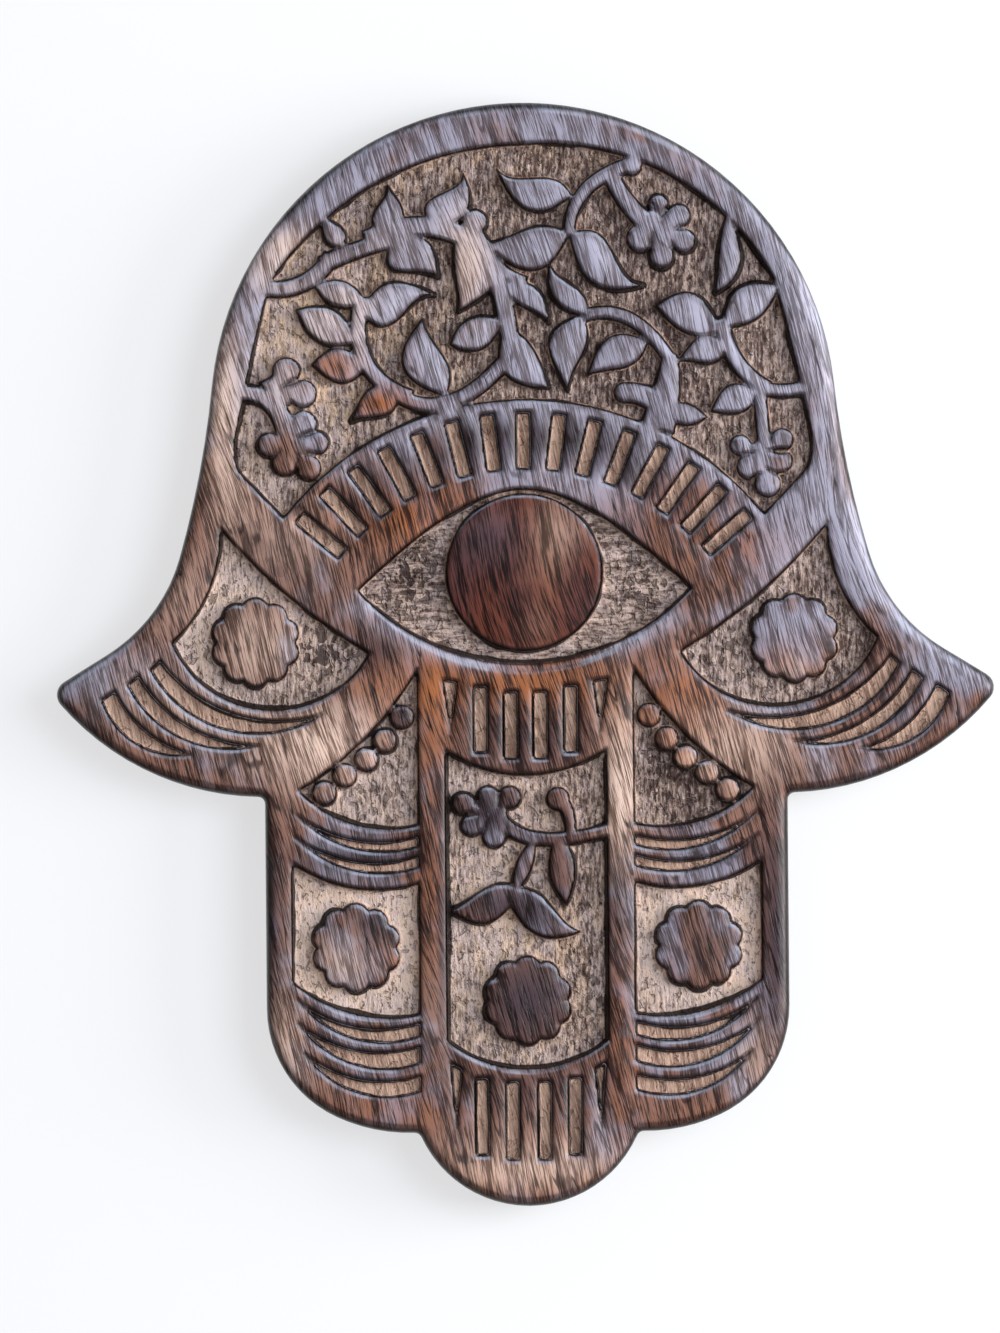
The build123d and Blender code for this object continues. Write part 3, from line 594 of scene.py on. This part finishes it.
def burnt_wood():
    """Slant-grained, open-pored wood: waxed tops with painted highlights and shade, gouged floors, burnt
    walls and outer edge widened by painted shadow, raw back.
    """
    wood = Finish("burnt_wood")
    place = wood.place()
    edge = wood.attribute("edge")
    iris = wood.attribute("iris")
    raw = wood.attribute("raw")
    grain = slant_grain(wood, place)
    fine = wood.noise(grain, (2.8, 0.5, 0.16), 3.0, 0.6)
    band = wood.noise(grain, (0.35, 0.2, 0.03), 3.0, 0.55)
    fibre = wood.step(fine * 0.62 + band * 0.38, 0.42, 0.58)
    pores = open_pores(wood, grain)
    floor = 1 - wood.step(edge, -0.25, 0.1)
    soil, floor_height = gouged_floor(wood, place, grain, fibre)
    colour = wood.mix(floor, raised_wood(wood, place, grain, fine, fibre, pores), soil)

    # Dark walls: burning, widened where painted shadow lies beside raised shapes
    scorch_and_shadow = wood.attribute("scorch_and_shadow")
    spread = wood.step(wood.noise(place, 0.12, 1.0), 0.46, 0.68) * 0.35 + scorch_and_shadow * 0.7
    wall = wood.step(edge + spread, -0.4, -0.1) * (1 - wood.step(edge, 0.0, 0.3))
    colour = wood.mix(wall * 0.94, colour, CHAR)
    # The dark outer edge: burning, widened by painted shadow and narrowed under the painted highlights
    outside = wood.depth(place) + scorch_and_shadow * 0.55 - wood.attribute("pale_highlight") * 0.8
    rim = wood.step(outside, *TOP_TO_SIDE) * wood.step(edge, 1.2, 2.4)
    colour = wood.mix(rim * (0.92 - fibre * 0.12), colour, CHAR)
    back = wood.mix(pores * 0.6, wood.mix(fibre, *BACK_FIBRES), CHAR)

    top_height = (fibre * 0.04 - pores * 0.10) * (1 - iris * 0.8)
    height = top_height * (1 - floor) + floor_height * floor
    wood.surface("Base Color", wood.mix(raw, colour, back))
    wood.surface("Coat Weight", (1 - floor) * (1 - raw) * (0.32 - iris * 0.12))
    wood.surface("Coat Roughness", 0.3)
    wood.surface("Specular IOR Level", 0.18)
    wood.surface("Roughness", (floor * 0.42 + raw * 0.3 + 0.36) * (1 - wall) + wall * 0.28)
    wood.surface("Normal", wood.bump(1.0, MM, height))
    return wood.material


def plated_metal(name, tint, lay):
    """Zinc-plated steel with drawing lines along one axis and dull spots."""
    metal = Finish(name)
    place = metal.place()
    lines = metal.noise(place, lay, 3.0, 0.6)
    spots = metal.noise(place, 0.9, 3.0, 0.6)
    dull = tuple(0.62 * part for part in tint[:3]) + (1,)
    worn = metal.mix(metal.step(spots, 0.42, 0.68), tint, dull)
    metal.surface("Base Color", metal.shade(worn, lines * 0.4 + 0.8))
    metal.surface("Metallic", 1.0)
    metal.surface("Roughness", spots * 0.3 + 0.22)
    metal.surface("Normal", metal.bump(0.3, 0.04 * MM, lines))
    return metal.material


def paper(name):
    """Plain white paper for the stage, seen only from its front and only by the camera."""
    sheet = Finish(name)
    seen = sheet.node("ShaderNodeLightPath", {}, {}, "Is Camera Ray")
    behind = sheet.node("ShaderNodeNewGeometry", {}, {}, "Backfacing")
    clear = sheet.node("ShaderNodeBsdfTransparent", {}, {})
    matt = sheet.node("ShaderNodeBsdfDiffuse", {}, {"Color": SHEET_WHITE})
    glow = sheet.node("ShaderNodeEmission", {}, {"Color": GLOW_WHITE, "Strength": 1.0})
    white = sheet.node("ShaderNodeMixShader", {}, {0: SHEET_GLOW, 1: matt, 2: glow})
    shown = sheet.node("ShaderNodeMixShader", {}, {0: seen * (1 - behind), 1: clear, 2: white})
    sheet.put(sheet.output.inputs["Surface"], shown)
    sheet.tree.nodes.remove(sheet.shader)
    return sheet.material


def stage_sheet(name, size, place, turn):
    """One flat sheet of the stage."""
    bpy.ops.object.select_all(action="DESELECT")
    bpy.ops.mesh.primitive_plane_add(size=size, location=place, rotation=turn)
    sheet = bpy.context.active_object
    sheet.name = name
    sheet.data.materials.append(paper(name + "_paper"))


def window_light(name, place, size, power, colour):
    """A soft square light aimed at the middle of the hand."""
    bpy.ops.object.light_add(type="AREA", location=place)
    lamp = bpy.context.active_object
    lamp.name = name
    lamp.data.size = size
    lamp.data.energy = power
    lamp.data.color = colour
    aim = Vector(LIGHT_TARGET) - Vector(place)
    lamp.rotation_euler = aim.to_track_quat("-Z", "Y").to_euler()


def white_room(soft_light, mirrored_light):
    """A softly lit room, white to the camera, and white in mirrors except in front of the hand."""
    world = bpy.data.worlds.new("white_room")
    bpy.context.scene.world = world
    world.use_nodes = True
    room = Nodes(world.node_tree)
    mirrored = room.node("ShaderNodeLightPath", {}, {}, "Is Glossy Ray")
    seen = room.node("ShaderNodeLightPath", {}, {}, "Is Camera Ray")
    way = room.node("ShaderNodeTexCoord", {}, {}, "Generated")
    behind = room.node("ShaderNodeSeparateXYZ", {}, {"Vector": way}, "Y")
    ends = {"From Min": 0.0, "From Max": 0.3, "To Min": mirrored_light, "To Max": 1.0}
    reflection = room.node("ShaderNodeMapRange", {}, {"Value": behind, **ends})
    light = room.node("ShaderNodeMix", {}, {"Factor": mirrored, "A": soft_light, "B": reflection})
    light = room.node("ShaderNodeMix", {}, {"Factor": seen, "A": light, "B": 1.0})
    background = room.tree.nodes["Background"]
    room.put(background.inputs["Color"], ROOM_WHITE)
    room.put(background.inputs["Strength"], light)


def photo_camera():
    """A long lens straight in front of the hand, framed as the photograph is."""
    bpy.ops.object.camera_add()
    camera = bpy.context.active_object
    camera.name = "photo_camera"
    front = FRONT_LEVEL * MM
    camera.location = (PHOTO_CENTRE_X * MM, front - CAMERA_DISTANCE, PHOTO_CENTRE_Z * MM)
    camera.rotation_euler = (math.pi / 2, CAMERA_ROLL, 0)
    camera.data.sensor_width = SENSOR
    camera.data.lens = SENSOR * CAMERA_DISTANCE / (PHOTO_WIDTH * PHOTO_ASPECT * MM)
    camera.data.clip_end = CAMERA_FAR
    bpy.context.scene.camera = camera


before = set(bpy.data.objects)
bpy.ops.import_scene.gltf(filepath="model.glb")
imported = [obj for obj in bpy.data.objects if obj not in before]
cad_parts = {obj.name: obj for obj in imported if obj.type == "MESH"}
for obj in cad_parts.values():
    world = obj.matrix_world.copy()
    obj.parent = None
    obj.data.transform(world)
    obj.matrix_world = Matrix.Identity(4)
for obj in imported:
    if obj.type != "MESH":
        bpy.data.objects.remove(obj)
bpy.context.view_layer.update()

hand = carved_hand(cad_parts["carved_board"])
hand.data.materials.clear()
hand.data.materials.append(burnt_wood())
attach(hand, "plaque")
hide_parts("carved_board")

for node_name, (tint, lay) in PLATED_PIECES.items():
    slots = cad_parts[node_name].data.materials
    slots.clear()
    slots.append(plated_metal(node_name + "_plating", tint, lay))

stage_sheet("wall_sheet", 3.0, (0, WALL_GAP, 0), (math.pi / 2, 0, 0))
stage_sheet("floor_sheet", 4.0, (0, 0, -FLOOR_DROP), (0, 0, 0))
window_light("sky_window", (0.76, -1.15, 0.16), 0.7, 10.5, (0.80, 0.90, 1.0))
window_light("side_window", (1.22, -0.46, 0.06), 0.6, 16.5, (1.0, 0.98, 0.96))
white_room(SOFT_LIGHT, MIRRORED_FRONT)
photo_camera()
bpy.context.scene.view_settings.view_transform = "Standard"
